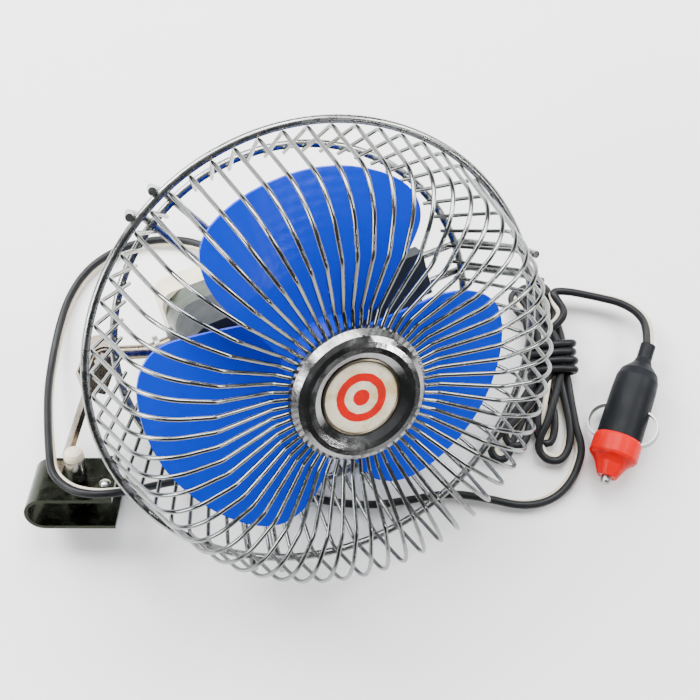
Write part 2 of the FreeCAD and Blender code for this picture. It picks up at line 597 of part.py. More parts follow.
rivet_shank = rod(1.3, RIVET_AT + Vector(0, 0, SHOE_THICK), RIVET_AT - Vector(0, 0, jaw_thick))
feature("c_clamp", c_clamp.cut(screw_hole).cut(rivet_shank), CLAMP)
shoe_corner = Vector(SHOE_START, -half_jaw, 0)
shoe = Part.makeBox(tips_x - SHOE_START, size("jaw_width"), SHOE_THICK, shoe_corner)
feature("jaw_shoe", shoe.cut(rivet_shank), CLAMP)
rivet_dome = Part.makeSphere(3.2, RIVET_AT + Vector(0, 0, SHOE_THICK - 2.0))
rivet_dome = rivet_dome.cut(Part.makeBox(10, 10, 10, RIVET_AT + Vector(-5, -5, SHOE_THICK - 10)))
feature("jaw_rivet", rivet_shank.fuse(rivet_dome), CLAMP)
clamp_nut = rod(4.5, Vector(0, 0, -jaw_thick), Vector(0, 0, -jaw_thick - 2.5))
feature("clamp_nut", clamp_nut.cut(rod(screw_radius + screw_gap, Vector(0, 0, 0), Vector(0, 0, -5))), CLAMP)
KNOB_LOW = 0.8
PAD_THICK, PAD_LIFT = 1.3, 2.2
PAD_TOP = lower_top + PAD_LIFT + PAD_THICK
turned("clamp_screw", [(0, PAD_TOP + 0.1), (screw_radius, PAD_TOP + 0.1), (screw_radius, KNOB_LOW),
                       (size("knob_radius") - 0.5, KNOB_LOW), (size("knob_radius"), KNOB_LOW + 0.5),
                       (size("knob_radius"), KNOB_LOW + size("knob_length")),
                       (0, KNOB_LOW + size("knob_length"))], CLAMP)
cap_low = KNOB_LOW + size("knob_length")
turned("screw_cap", [(0, cap_low), (4.1, cap_low), (4.1, cap_low + 1.7), (3.5, cap_low + 3.2),
                     (2.2, cap_low + 4.1), (0, cap_low + 4.5)], CLAMP)
turned("clamp_pad", [(0, PAD_TOP), (size("pad_radius"), PAD_TOP), (size("pad_radius"), PAD_TOP - PAD_THICK),
                     (0, PAD_TOP - PAD_THICK)], CLAMP)

# ================================================================ cord, hank and plug
RELIEF_LENGTH = 12.0
cord_radius = size("cord_radius")
relief_root = CORD_EXIT + Vector(0, 0, 3)
relief_end = CORD_EXIT - Vector(0, 0, RELIEF_LENGTH)
relief = rod(3.55, relief_root, CORD_EXIT).fuse(
    Part.makeCone(4.6, 3.2, RELIEF_LENGTH, CORD_EXIT, Vector(0, 0, -1)))
feature("strain_relief", relief.removeSplitter())

CORD_START = HEAD.multVec(relief_end)
CORD_ROUTE = [CORD_START] + [Vector(*point) for point in (
    (-31.4, 65.9, 11.1), (-37.6, 70.9, 5.3), (-47.0, 74.6, 2.7), (-61.5, 75.0, 2.6), (-76.5, 70.5, 2.6),
    (-89.0, 61.8, 2.6), (-96.9, 49.0, 2.6), (-100.8, 34.0, 2.9), (-102.4, 17.6, 5.5), (-101.9, 2.0, 11.8),
    (-99.1, -14.0, 19.0), (-96.5, -26.0, 24.3), (-93.8, -36.0, 29.3), (-85.5, -43.0, 33.6),
    (-75.5, -45.2, 34.8), (-66.0, -44.2, 33.4), (-57.8, -41.8, 26.5), (-51.0, -38.6, 17.5),
    (-44.2, -35.6, 8.5), (-35.0, -34.0, 3.2), (-20.0, -34.6, 2.6), (-2.0, -38.2, 2.6), (17.0, -43.0, 2.6),
    (36.0, -45.4, 2.6), (54.0, -43.0, 2.6), (70.5, -39.8, 2.6), (87.0, -42.0, 2.6), (102.0, -45.6, 2.6),
    (114.5, -43.2, 2.6), (123.0, -35.6, 2.6), (127.4, -26.2, 2.8), (128.6, -19.0, 3.4)
)]
cord_tube("cord_head_side", CORD_ROUTE, cord_radius)

HANK_OUTLINE = [
    (100, 48), (106, 53), (114, 54), (120, 48), (122, 38), (124, 28), (126, 14), (128, 1), (128, -12),
    (126, -20),
    (118, -26), (106, -25), (93, -27), (89, -20), (94, -9), (100, 2), (102, 14), (98, 24), (96, 36)
]
HANK_HEIGHT = 13.0
hank_curve = Part.BSplineCurve()
hank_curve.interpolate([Vector(*point, 0) for point in HANK_OUTLINE], PeriodicFlag=True)
hank = Part.Face(Part.Wire([hank_curve.toShape()])).extrude(Vector(0, 0, HANK_HEIGHT))
feature("cord_hank", hank, Placement())

LEAD_ROUTE = [Vector(*point) for point in (
    (117.5, 49.0, 9.0), (124.5, 49.2, 8.8), (132.0, 48.0, 8.4), (140.0, 46.4, 8.2), (148.5, 44.4, 8.2),
    (155.8, 40.0, 8.3), (160.2, 33.0, 8.5), (159.3, 24.1, 8.8)
)]
PLUG_NECK = LEAD_ROUTE[-1]
PLUG_DIR = Vector(-23.1, -61.8, 2.38)
PLUG = Placement(PLUG_NECK, Rotation(Z, PLUG_DIR))
lead_radius = 2.0
cord_tube("cord_plug_side", LEAD_ROUTE, lead_radius)

barrel = size("plug_collar")
tip_radius = size("plug_tip_radius")
tip_bore = tip_radius + 0.05
NOSE_ROOT, NOSE_LOW, NOSE_HIGH = 40.0, 45.0, 62.5
BODY_BORE, BODY_FLOOR = 7.2, 18.0


def turned_solid(outline):
    """A solid of revolution about Z from a closed ring of (radius, height) pairs."""
    ring = [Vector(radius, 0, height) for radius, height in outline]
    return Part.Face(Part.makePolygon(ring + [ring[0]])).revolve(Vector(), Z, 360)


def leaf_spring(side):
    """A bowed strip: a thin arc seen from above, as wide as the slot it stands in."""
    outer = Part.Arc(Vector(side * 8.6, 0, 30.5), Vector(side * 15.4, 0, 38.5), Vector(side * 8.6, 0, 46.5))
    inner = Part.Arc(Vector(side * 8.6, 0, 31.2), Vector(side * 14.8, 0, 38.5), Vector(side * 8.6, 0, 45.8))
    low_end = Part.LineSegment(outer.StartPoint, inner.StartPoint)
    high_end = Part.LineSegment(outer.EndPoint, inner.EndPoint)
    face = Part.Face(Part.Wire([line.toShape() for line in (low_end, outer, high_end, inner)]))
    strip = face.extrude(Vector(0, 4, 0))
    strip.translate(Vector(0, -2, 0))
    return strip


springs = [leaf_spring(side) for side in (1, -1)]
body_solid = turned_solid([(0, 0), (3.3, 0), (3.3, 7), (4.2, 9.5), (8.0, 13.5), (9.2, 17), (9.5, 22),
                           (9.8, NOSE_LOW), (BODY_BORE, NOSE_LOW), (BODY_BORE, BODY_FLOOR), (0, BODY_FLOOR)])
nose_solid = turned_solid([(BODY_BORE, NOSE_LOW), (barrel - 0.4, NOSE_LOW), (barrel, NOSE_LOW + 1),
                           (barrel, NOSE_LOW + 8), (9.9, 54.1), (8.4, 55.3), (7.0, 57.0), (5.5, 60.0),
                           (4.3, NOSE_HIGH), (tip_bore, NOSE_HIGH), (tip_bore, NOSE_ROOT),
                           (BODY_BORE, NOSE_ROOT)])
plug_body = body_solid
plug_nose = nose_solid
for spring in springs:
    plug_body = plug_body.cut(spring)
    plug_nose = plug_nose.cut(spring)
feature("plug_body", plug_body, PLUG)
feature("plug_nose", plug_nose, PLUG)
feature("plug_side_springs", Part.makeCompound(springs), PLUG)
CONTACT_BACK, CONTACT_FRONT = 49.0, 66.0
contact = turned_solid([(0, CONTACT_BACK), (tip_radius, CONTACT_BACK), (tip_radius, CONTACT_FRONT - 1.6),
                        (tip_radius - 0.5, CONTACT_FRONT - 0.6), (0, CONTACT_FRONT)])
feature("plug_contact", contact, PLUG)
COIL_RADIUS, COIL_PITCH, COIL_LENGTH, COIL_WIRE = 1.6, 1.6, 8.0, 0.3
coil_start = CONTACT_BACK - COIL_LENGTH - COIL_WIRE - 0.05
coil_line = Part.makeHelix(COIL_PITCH, COIL_LENGTH, COIL_RADIUS)
coil_line.translate(Vector(0, 0, coil_start))
coil_ring = Part.Wire(Part.makeCircle(COIL_WIRE, Vector(COIL_RADIUS, 0, coil_start), Y))
feature("plug_spring", Part.Wire(coil_line).makePipeShell([coil_ring], True, True), PLUG)
FUSE_RADIUS, FUSE_GAP = 2.1, 2.3
fuse_ends = Vector(0, 0, BODY_FLOOR + FUSE_GAP), Vector(0, 0, coil_start - COIL_WIRE - 0.05)
feature("plug_fuse", rod(FUSE_RADIUS, *fuse_ends), PLUG)

# ================================================================ checks and export
doc.recompute()
for obj in doc.Objects:
    if {"Invalid", "Error"} & set(obj.State):
        raise SystemExit(f"{obj.Label} failed: {obj.State}")
for piece in pieces:
    if piece.Shape.isNull() or not piece.Shape.isValid() or not piece.Shape.Solids:
        raise SystemExit(f"{piece.Label} has no valid solid")
    piece.Shape.exportStep(f"parts/{piece.Label}.step")
print(len(pieces), "nodes")
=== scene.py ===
import json
import math
from collections import namedtuple

import bpy
import bmesh
import numpy as np
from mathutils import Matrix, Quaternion, Vector


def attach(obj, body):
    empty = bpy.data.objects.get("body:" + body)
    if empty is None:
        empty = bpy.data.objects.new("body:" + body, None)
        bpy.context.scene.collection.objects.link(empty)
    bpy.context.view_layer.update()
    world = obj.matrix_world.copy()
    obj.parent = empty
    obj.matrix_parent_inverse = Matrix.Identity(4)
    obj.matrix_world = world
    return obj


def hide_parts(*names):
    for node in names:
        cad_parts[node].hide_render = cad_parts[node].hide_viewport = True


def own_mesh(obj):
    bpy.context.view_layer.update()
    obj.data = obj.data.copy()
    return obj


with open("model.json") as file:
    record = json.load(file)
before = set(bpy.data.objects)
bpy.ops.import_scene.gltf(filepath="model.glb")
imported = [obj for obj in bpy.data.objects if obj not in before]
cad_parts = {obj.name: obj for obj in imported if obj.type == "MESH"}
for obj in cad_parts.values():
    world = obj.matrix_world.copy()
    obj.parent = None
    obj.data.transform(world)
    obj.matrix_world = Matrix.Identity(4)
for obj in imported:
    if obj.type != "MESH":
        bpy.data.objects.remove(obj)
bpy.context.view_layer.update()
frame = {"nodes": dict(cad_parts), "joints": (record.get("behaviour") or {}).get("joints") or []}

MM = 0.001

# ---------------------------------------------------------------- places and directions, from the frame
joints = {joint["name"]: joint for joint in frame["joints"]}
FAN_AXIS = Vector(joints["rotor_spin"]["axis"])
FAN_CENTRE = Vector(joints["rotor_spin"]["pos_m"])
CONTACT_AXIS = Vector(joints["contact_slide"]["axis"])

# ---------------------------------------------------------------- camera
CAMERA_FROM_FAN = Vector((10.9, -123.2, 463.1)) * MM
CAMERA_TILT = math.radians(15)


def add_camera():
    camera = bpy.data.objects.new("camera", bpy.data.cameras.new("camera"))
    camera.data.lens = 64.3
    camera.data.sensor_width = 36.0
    camera.data.clip_start = 0.01
    camera.location = FAN_CENTRE + CAMERA_FROM_FAN
    camera.rotation_euler = (CAMERA_TILT, 0, 0)
    bpy.context.collection.objects.link(camera)
    bpy.context.scene.camera = camera


add_camera()


# ---------------------------------------------------------------- material helpers
class Nodes:
    """A short way to write a material's node tree."""

    def __init__(self, name):
        self.material = bpy.data.materials.new(name)
        self.material.use_nodes = True
        self.tree = self.material.node_tree
        self.tree.nodes.clear()
        output = self.tree.nodes.new("ShaderNodeOutputMaterial")
        self.shader = self.tree.nodes.new("ShaderNodeBsdfPrincipled")
        self.link(self.shader.outputs[0], output.inputs[0])
        self.coords = self.tree.nodes.new("ShaderNodeTexCoord").outputs["Object"]

    def link(self, source, target):
        self.tree.links.new(source, target)

    def give(self, socket, value):
        """Put a number, a colour or another node's output into a socket."""
        if isinstance(value, tuple):
            socket.default_value = (*value, 1.0)
        elif isinstance(value, (int, float)):
            socket.default_value = value
        else:
            self.link(value, socket)

    def noise(self, scale, detail=4.0, rough=0.55):
        """Noise from 0 to 1, whose largest blotches are about 1/scale metres across."""
        node = self.tree.nodes.new("ShaderNodeTexNoise")
        node.inputs["Scale"].default_value = scale
        node.inputs["Detail"].default_value = detail
        node.inputs["Roughness"].default_value = rough
        self.link(self.coords, node.inputs["Vector"])
        return node.outputs["Fac"]

    def spread(self, source, low, high, out_low=0.0, out_high=1.0):
        """The source with its range low to high stretched to out_low to out_high."""
        node = self.tree.nodes.new("ShaderNodeMapRange")
        node.inputs["From Min"].default_value = low
        node.inputs["From Max"].default_value = high
        node.inputs["To Min"].default_value = out_low
        node.inputs["To Max"].default_value = out_high
        self.link(source, node.inputs["Value"])
        return node.outputs["Result"]

    def mix(self, factor, first, second):
        """A colour between two, each a colour or another node's output."""
        node = self.tree.nodes.new("ShaderNodeMix")
        node.data_type = "RGBA"
        # a mix of colours uses these sockets of the node
        factor_socket, first_socket, second_socket, result = 0, 6, 7, 2
        self.give(node.inputs[factor_socket], factor)
        self.give(node.inputs[first_socket], first)
        self.give(node.inputs[second_socket], second)
        return node.outputs[result]

    def compute(self, operation, *values):
        """The result of a Math node on numbers or other nodes' outputs."""
        node = self.tree.nodes.new("ShaderNodeMath")
        node.operation = operation
        for socket, value in zip(node.inputs, values):
            self.give(socket, value)
        return node.outputs[0]

    def bump(self, height, strength, distance):
        node = self.tree.nodes.new("ShaderNodeBump")
        node.inputs["Strength"].default_value = strength
        node.inputs["Distance"].default_value = distance
        self.link(height, node.inputs["Height"])
        self.link(node.outputs[0], self.shader.inputs["Normal"])

    def set(self, **values):
        """Fill the shader's sockets, named with _ for each space."""
        for name, value in values.items():
            self.give(self.shader.inputs[name.replace("_", " ")], value)

    def head_radius(self):
        """The distance of a surface point from the fan's axis, in metres."""
        offset = self.tree.nodes.new("ShaderNodeVectorMath")
        offset.operation = "SUBTRACT"
        offset.inputs[1].default_value = FAN_CENTRE
        self.link(self.coords, offset.inputs[0])
        cross = self.tree.nodes.new("ShaderNodeVectorMath")
        cross.operation = "CROSS_PRODUCT"
        cross.inputs[1].default_value = FAN_AXIS
        self.link(offset.outputs[0], cross.inputs[0])
        length = self.tree.nodes.new("ShaderNodeVectorMath")
        length.operation = "LENGTH"
        self.link(cross.outputs[0], length.inputs[0])
        return length.outputs["Value"]


RUST = (0.16, 0.075, 0.035)


def chrome(name, bright, dull, roughness, rust=0.0, pit=0.15):
    """Old plating: bright metal with dull patches, fine pits and, where asked, rust spots."""
    nodes = Nodes(name)
    cloud = nodes.spread(nodes.noise(45, 5, 0.5), 0.45, 0.8)
    colour = nodes.mix(cloud, bright, dull)
    metallic = 1.0
    if rust:
        spots = nodes.spread(nodes.noise(260, 6, 0.7), 0.66 - rust * 0.1, 0.74)
        colour = nodes.mix(spots, colour, RUST)
        metallic = nodes.compute("SUBTRACT", 1.0, nodes.compute("MULTIPLY", spots, 0.6))
    gloss = nodes.spread(nodes.noise(220, 4), 0.3, 0.75, roughness, roughness + 0.2)
    nodes.set(Base_Color=colour, Metallic=metallic, Roughness=gloss)
    nodes.bump(nodes.noise(700, 3), pit, 0.08 * MM)
    return nodes.material


def plastic(name, colour, darker, roughness, grain=900.0, bump=0.08, shine=0.2):
    """Moulded plastic: slight colour drift, handling marks in the gloss and a fine grain."""
    nodes = Nodes(name)
    patch = nodes.spread(nodes.noise(35, 4), 0.4, 0.7)
    gloss = nodes.spread(nodes.noise(130, 5), 0.35, 0.75, roughness, roughness + 0.15)
    nodes.set(Base_Color=nodes.mix(patch, colour, darker), Roughness=gloss, Specular_IOR_Level=shine)
    nodes.bump(nodes.noise(grain, 3), bump, 0.06 * MM)
    return nodes.material


def blue_blades():
    """Glossy blue plastic with faint moulding rings about the hub and a deeper tone near it."""
    hub_edge, blade_end, ring_pitch = 18 * MM, 70 * MM, 4.2 * MM
    nodes = Nodes("blue_blades")
    radius = nodes.head_radius()
    outward = nodes.spread(radius, hub_edge, blade_end)
    cloud = nodes.spread(nodes.noise(40, 3), 0.35, 0.7)
    base = nodes.mix(outward, (0.0, 0.018, 0.4), (0.0, 0.04, 0.68))
    colour = nodes.mix(nodes.compute("MULTIPLY", cloud, 0.35), base, (0.0, 0.034, 0.6))
    gloss = nodes.spread(nodes.noise(150, 4), 0.3, 0.8, 0.14, 0.26)
    rings = nodes.compute("SINE", nodes.compute("MULTIPLY", radius, 2 * math.pi / ring_pitch))
    waves = nodes.compute("MULTIPLY", nodes.noise(60, 2), 2.0)
    height = nodes.compute("ADD", nodes.compute("MULTIPLY", rings, 0.5), waves)
    nodes.set(Base_Color=colour, Roughness=gloss, Specular_IOR_Level=0.06)
    nodes.bump(height, 0.05, 0.4 * MM)
    return nodes.material


def ring_badge():
    """Aged cream enamel with a plain red ring and dot."""
    ring_inside, ring_outside, dot, worn_edge = 6.6 * MM, 9.7 * MM, 3.4 * MM, 0.6 * MM
    nodes = Nodes("ring_badge")
    blotch = nodes.spread(nodes.noise(75, 3, 0.6), 0.5, 0.66)
    speck = nodes.spread(nodes.noise(400, 6, 0.7), 0.5, 0.8)
    stain = nodes.compute("MAXIMUM", nodes.compute("MULTIPLY", blotch, 0.75), speck)
    cream = nodes.mix(stain, (0.82, 0.76, 0.6), (0.55, 0.38, 0.12))
    red = nodes.mix(stain, (0.68, 0.004, 0.003), (0.42, 0.01, 0.005))
    edge = nodes.compute("MULTIPLY", nodes.noise(420, 3), worn_edge)
    radius = nodes.compute("ADD", nodes.head_radius(), edge)
    past_inside = nodes.compute("GREATER_THAN", radius, ring_inside)
    within_outside = nodes.compute("LESS_THAN", radius, ring_outside)
    ring = nodes.compute("MULTIPLY", past_inside, within_outside)
    mark = nodes.compute("MAXIMUM", ring, nodes.compute("LESS_THAN", radius, dot))
    gloss = nodes.spread(stain, 0.0, 1.0, 0.25, 0.5)
    nodes.set(Base_Color=nodes.mix(mark, cream, red), Roughness=gloss, Specular_IOR_Level=0.25)
    nodes.bump(nodes.noise(500, 4), 0.1, 0.1 * MM)
    return nodes.material


# ---------------------------------------------------------------- the cord's route, in millimetres
# from the gearbox to the hank
HEAD_SIDE = [
    (-27.9, 60.1, 18.5), (-31.4, 65.9, 11.1), (-37.6, 70.9, 5.3), (-47.0, 74.6, 2.7), (-61.5, 75.0, 2.6),
    (-76.5, 70.5, 2.6), (-89.0, 61.8, 2.6), (-96.9, 49.0, 2.6), (-100.8, 34.0, 2.9), (-102.4, 17.6, 5.5),
    (-101.9, 2.0, 11.8), (-99.1, -14.0, 19.0), (-96.5, -26.0, 24.3), (-93.8, -36.0, 29.3),
    (-85.5, -43.0, 33.6), (-75.5, -45.2, 34.8), (-66.0, -44.2, 33.4), (-57.8, -41.8, 26.5),
    (-51.0, -38.6, 17.5), (-44.2, -35.6, 8.5), (-35.0, -34.0, 3.2), (-20.0, -34.6, 2.6), (-2.0, -38.2, 2.6),
    (17.0, -43.0, 2.6), (36.0, -45.4, 2.6), (54.0, -43.0, 2.6), (70.5, -39.8, 2.6), (87.0, -42.0, 2.6),
    (102.0, -45.6, 2.6), (114.5, -43.2, 2.6), (123.0, -35.6, 2.6), (127.4, -26.2, 2.8), (128.6, -19.0, 3.4)]
# from the hank to the plug's neck
PLUG_SIDE = [
    (117.5, 49.0, 9.0), (124.5, 49.2, 8.8), (132.0, 48.0, 8.4), (140.0, 46.4, 8.2), (148.5, 44.4, 8.2),
    (155.8, 40.0, 8.3), (160.2, 33.0, 8.5), (159.3, 24.1, 8.8)]

# each long loop of the hank: its lower end (x, y, half width) and its upper end (x, y, half width)
HANK_LOOPS = [
    ((120.5, -20.0, 5.5), (112.0, 51.5, 6.0)),
    ((117.2, -24.5, 7.5), (107.0, 50.0, 5.0)),
    ((94.0, -24.0, 5.0), (104.0, 48.5, 5.0)),
    ((114.0, -17.0, 4.0), (115.0, 47.0, 4.5)),
    ((101.0, -18.0, 5.5), (109.0, 44.5, 4.0))]
WAIST_X, WAIST_Y = 117.0, 19.5
LOW_LAYER, HIGH_LAYER = 3.7, 7.3
# where the first strand passes the waist, right of its middle, and how far left of it the next one does
FIRST_STRAND, STRAND_STEP = 5.8, 3.2

WRAPS, STEPS_PER_WRAP, WRAP_PITCH = 4, 12, 3.9
WRAP_HALF_WIDE, WRAP_HALF_HIGH, WRAP_MIDDLE_Z = 9.2, 3.9, 6.7
FIRST_WRAP_Y = WAIST_Y - 8.0
WRAP_START = math.radians(200)

# a stop of the route: a point, the way the cord's flat side would face, and its twist from there in degrees
Stop = namedtuple("Stop", "point facing twist")
UP = (0.0, 0.0, 1.0)
FLAT, LEANING, ON_EDGE = 10, 40, 72


def between(first, second, share):
    """The number that lies this share of the way from the first to the second."""
    return first + (second - first) * share


def strand_up(k, up_x):
    """Loop k from its lower end, through the waist on the low layer, to its upper end."""
    (low_x, low_y, low_half), (high_x, high_y, high_half) = HANK_LOOPS[k]
    low_right = low_x + low_half
    twist = ON_EDGE if k % 2 else LEANING
    return [Stop((low_right, low_y + 9, LOW_LAYER - 0.4), UP, twist),
            Stop((between(up_x, low_right, 0.4), WAIST_Y - 16, LOW_LAYER), UP, twist),
            Stop((up_x, WAIST_Y - 5, LOW_LAYER), UP, ON_EDGE),
            Stop((up_x, WAIST_Y + 6, LOW_LAYER), UP, ON_EDGE),
            Stop((high_x + high_half, high_y - 10, LOW_LAYER + 1), UP, twist),
            Stop((high_x + high_half * 0.8, high_y - 2, LOW_LAYER + 1.5), UP, twist)]


def strand_down(k, down_x, twist):
    """Loop k over its upper end and back through the waist on the high layer."""
    high_x, high_y, high_half = HANK_LOOPS[k][1]
    high_left = high_x - high_half
    lift = 0.2 * k
    return [Stop((high_x, high_y + 1.5, HIGH_LAYER - 1), UP, FLAT),
            Stop((high_x - high_half * 0.9, high_y - 3, HIGH_LAYER), UP, twist),
            Stop((between(down_x, high_left, 0.5), high_y - 13, HIGH_LAYER + lift), UP, twist),
            Stop((down_x, WAIST_Y + 4, HIGH_LAYER), UP, twist),
            Stop((down_x, WAIST_Y - 7, HIGH_LAYER), UP, twist)]


def lower_fold(k, down_x, twist):
    """From the waist round the lower end of loop k."""
    low_x, low_y, low_half = HANK_LOOPS[k][0]
    low_left = low_x - low_half
    return [Stop((between(down_x, low_left, 0.55), low_y + 16, HIGH_LAYER - 0.5), UP, twist),
            Stop((low_left, low_y + 5, HIGH_LAYER - 2.5), UP, LEANING),
            Stop((low_x - low_half * 0.6, low_y - 0.5, LOW_LAYER - 0.2), UP, FLAT),
            Stop((low_x + low_half * 0.4, low_y - 1.5, LOW_LAYER - 0.6), UP, LEANING)]


def squarer(value, power):
    """A sine or cosine pushed outwards, so that an ellipse becomes more like a rectangle."""
    return math.copysign(abs(value) ** power, value)


def wraps():
    """The turns round the hank's waist."""
    stops = []
    for k in range(WRAPS * STEPS_PER_WRAP + 1):
        angle = WRAP_START - 2 * math.pi * k / STEPS_PER_WRAP
        cosine, sine = math.cos(angle), math.sin(angle)
        squeeze = 1.0 - 0.05 * math.sin(k * 0.9)
        across = WRAP_HALF_WIDE * squeeze * squarer(cosine, 0.8)
        rise = WRAP_HALF_HIGH * squarer(sine, 0.7)
        wobble = 0.5 * math.sin(angle + 0.7 * (k // STEPS_PER_WRAP))
        along = FIRST_WRAP_Y + WRAP_PITCH * k / STEPS_PER_WRAP + wobble
        outward = (cosine * 0.6, 0.0, sine)
        stops.append(Stop((WAIST_X + across, along, WRAP_MIDDLE_Z + rise), outward, ON_EDGE))
    return stops


def hank_route():
    """The folded strands, then the wraps round the waist, then up to the hank's top."""
    stops = []
    last = len(HANK_LOOPS) - 1
    for k in range(len(HANK_LOOPS)):
        up_x = WAIST_X + FIRST_STRAND - STRAND_STEP * k
        down_x = up_x - STRAND_STEP / 2
        # the middle loop leans the other way
        down_twist = -LEANING if k == last // 2 else ON_EDGE
        stops += strand_up(k, up_x)
        stops += strand_down(k, down_x, down_twist)
        if k < last:
            stops += lower_fold(k + 1, down_x, down_twist)
    stops.append(Stop((down_x + 1.5, WAIST_Y - 13, HIGH_LAYER + 0.5), UP, LEANING))
    stops += wraps()
    stops.append(Stop((WAIST_X + 6.5, 36.5, 10.6), UP, LEANING))
    stops.append(Stop((WAIST_X + 2.0, 44.5, 10.2), UP, FLAT))
    return stops


def head_side_twist(k):
    """The cord rolls onto its edge over its first five points, and then leans to and fro."""
    if k > 4:
        return 56 + 16 * math.sin(0.8 * k)
    return 5 + 12 * k


def whole_route():
    """The whole cord, from the gearbox to the plug."""
    start = [Stop(point, UP, head_side_twist(k)) for k, point in enumerate(HEAD_SIDE)]
    end = [Stop(point, UP, ON_EDGE - 9 * k) for k, point in enumerate(PLUG_SIDE)]
    return start + hank_route() + end


# ---------------------------------------------------------------- the cord and the contact's spring
# each core's distance from the cord's middle and its radius: the black one, which is thicker, and the cream
CORES = ((-0.8 * MM, 1.7 * MM), (1.35 * MM, 1.15 * MM))
CORE_SIDES = 14
CORD_STEP = 1.2 * MM

# the coil between the plug's fuse and its contact, a hair shorter than in CAD so that it stays clear of both
PLUG_NECK_TO_COIL = 40.8 * MM
COIL_RADIUS, COIL_WIRE, COIL_LENGTH, COIL_TURNS = 1.6 * MM, 0.3 * MM, 7.7 * MM, 5
STEPS_PER_COIL_TURN, WIRE_SIDES = 24, 8


def nurbs_line(name, points):
    """The smooth line of a NURBS spline with these control points, in metres, read as a list of points."""
    curve = bpy.data.curves.new(name, "CURVE")
    curve.dimensions = "3D"
    curve.resolution_u = 6
    spline = curve.splines.new("NURBS")
    spline.points.add(len(points) - 1)
    for control, point in zip(spline.points, points):
        control.co = (point[0] * MM, point[1] * MM, point[2] * MM, 1.0)
    spline.order_u = 3
    spline.use_endpoint_u = True
    guide = bpy.data.objects.new(name, curve)
    bpy.context.collection.objects.link(guide)
    bpy.context.view_layer.update()
    mesh = bpy.data.meshes.new_from_object(guide.evaluated_get(bpy.context.evaluated_depsgraph_get()))
    line = [vertex.co.copy() for vertex in mesh.vertices]
    bpy.data.objects.remove(guide)
    return line


def even_steps(line, step):
    """The same line with points a fixed distance apart, each point's share of the way, and the length."""
    lengths = [0.0]
    for here, there in zip(line, line[1:]):
        lengths.append(lengths[-1] + (there - here).length)
    count = max(2, int(lengths[-1] / step))
    wanted = np.linspace(0, lengths[-1], count)
    axes = [np.interp(wanted, lengths, [point[k] for point in line]) for k in range(3)]
    shares = np.interp(wanted, lengths, np.linspace(0, 1, len(line)))
    return [Vector(values) for values in zip(*axes)], shares, lengths[-1]


def add_circle(mesh, centre, across, outward, radius, sides):
    """New vertices in a circle about centre, in the plane of across and outward."""
    circle = []
    for k in range(sides):
        angle = 2 * math.pi * k / sides
        spoke = across * math.cos(angle) + outward * math.sin(angle)
        circle.append(mesh.verts.new(centre + spoke * radius))
    return circle


def skin(mesh, circles, slot=0):
    """A closed tube over circles of vertices."""
    for here, there in zip(circles, circles[1:]):
        for k in range(len(here)):
            following = (k + 1) % len(here)
            face = mesh.faces.new((here[k], here[following], there[following], there[k]))
            face.material_index = slot
            face.smooth = True
    for end in (circles[0], circles[-1]):
        face = mesh.faces.new(end)
        face.material_index = slot


def new_piece(name, mesh, *materials):
    """An object made of this bmesh, with its faces turned outwards."""
    bmesh.ops.recalc_face_normals(mesh, faces=mesh.faces)
    data = bpy.data.meshes.new(name)
    mesh.to_mesh(data)
    mesh.free()
    for material in materials:
        data.materials.append(material)
    piece = bpy.data.objects.new(name, data)
    bpy.context.collection.objects.link(piece)
    return piece


def flat_cord(name, route, *materials):
    """Two cores side by side along the route, with a material each."""
    line = nurbs_line(name + "_line", [stop.point for stop in route])
    path, shares, length = even_steps(line, CORD_STEP)
    places = np.linspace(0, 1, len(route))
    facings = np.array([stop.facing for stop in route])
    facing_at = np.stack([np.interp(shares, places, facings[:, k]) for k in range(3)], 1)
    twist_at = np.radians(np.interp(shares, places, [stop.twist for stop in route]))
    mesh = bmesh.new()
    tubes = [[] for _ in CORES]
    for k, point in enumerate(path):
        along = (path[min(k + 1, len(path) - 1)] - path[max(k - 1, 0)]).normalized()
        facing = Vector(facing_at[k])
        outward = (facing - along * facing.dot(along)).normalized()
        outward = Quaternion(along, -twist_at[k]) @ outward
        across = outward.cross(along).normalized()
        for tube, (offset, radius) in zip(tubes, CORES):
            tube.append(add_circle(mesh, point + across * offset, across, outward, radius, CORE_SIDES))
    for slot, tube in enumerate(tubes):
        skin(mesh, tube, slot)
    return new_piece(name, mesh, *materials), path, length


def contact_spring(name, material):
    """A coil along the contact's slide."""
    start = Vector(PLUG_SIDE[-1]) * MM + CONTACT_AXIS * PLUG_NECK_TO_COIL
    side = CONTACT_AXIS.cross(Vector(UP)).normalized()
    other = CONTACT_AXIS.cross(side)
    mesh = bmesh.new()
    circles = []
    steps = COIL_TURNS * STEPS_PER_COIL_TURN
    for k in range(steps + 1):
        angle = 2 * math.pi * k / STEPS_PER_COIL_TURN
        spoke = side * math.cos(angle) + other * math.sin(angle)
        centre = start + CONTACT_AXIS * COIL_LENGTH * k / steps + spoke * COIL_RADIUS
        circles.append(add_circle(mesh, centre, spoke, CONTACT_AXIS, COIL_WIRE, WIRE_SIDES))
    skin(mesh, circles)
    spring = new_piece(name, mesh, material)
    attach(spring, "head")
    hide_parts("plug_spring")
    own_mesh(spring)
    return spring


cord_black = plastic("cord_black", (0.009, 0.0095, 0.011), (0.018, 0.019, 0.02), 0.34, grain=500, bump=0.1)
cord_cream = plastic("cord_cream", (0.72, 0.66, 0.52), (0.5, 0.45, 0.33), 0.32, grain=500, bump=0.1)
plain_steel = chrome("plain_steel", (0.36, 0.36, 0.36), (0.22, 0.21, 0.2), 0.3)

cord, cord_path, cord_length = flat_cord("cord", whole_route(), cord_black, cord_cream)
spring = contact_spring("contact_coil", plain_steel)
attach(cord, "head")
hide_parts("cord_head_side", "cord_hank", "cord_plug_side")


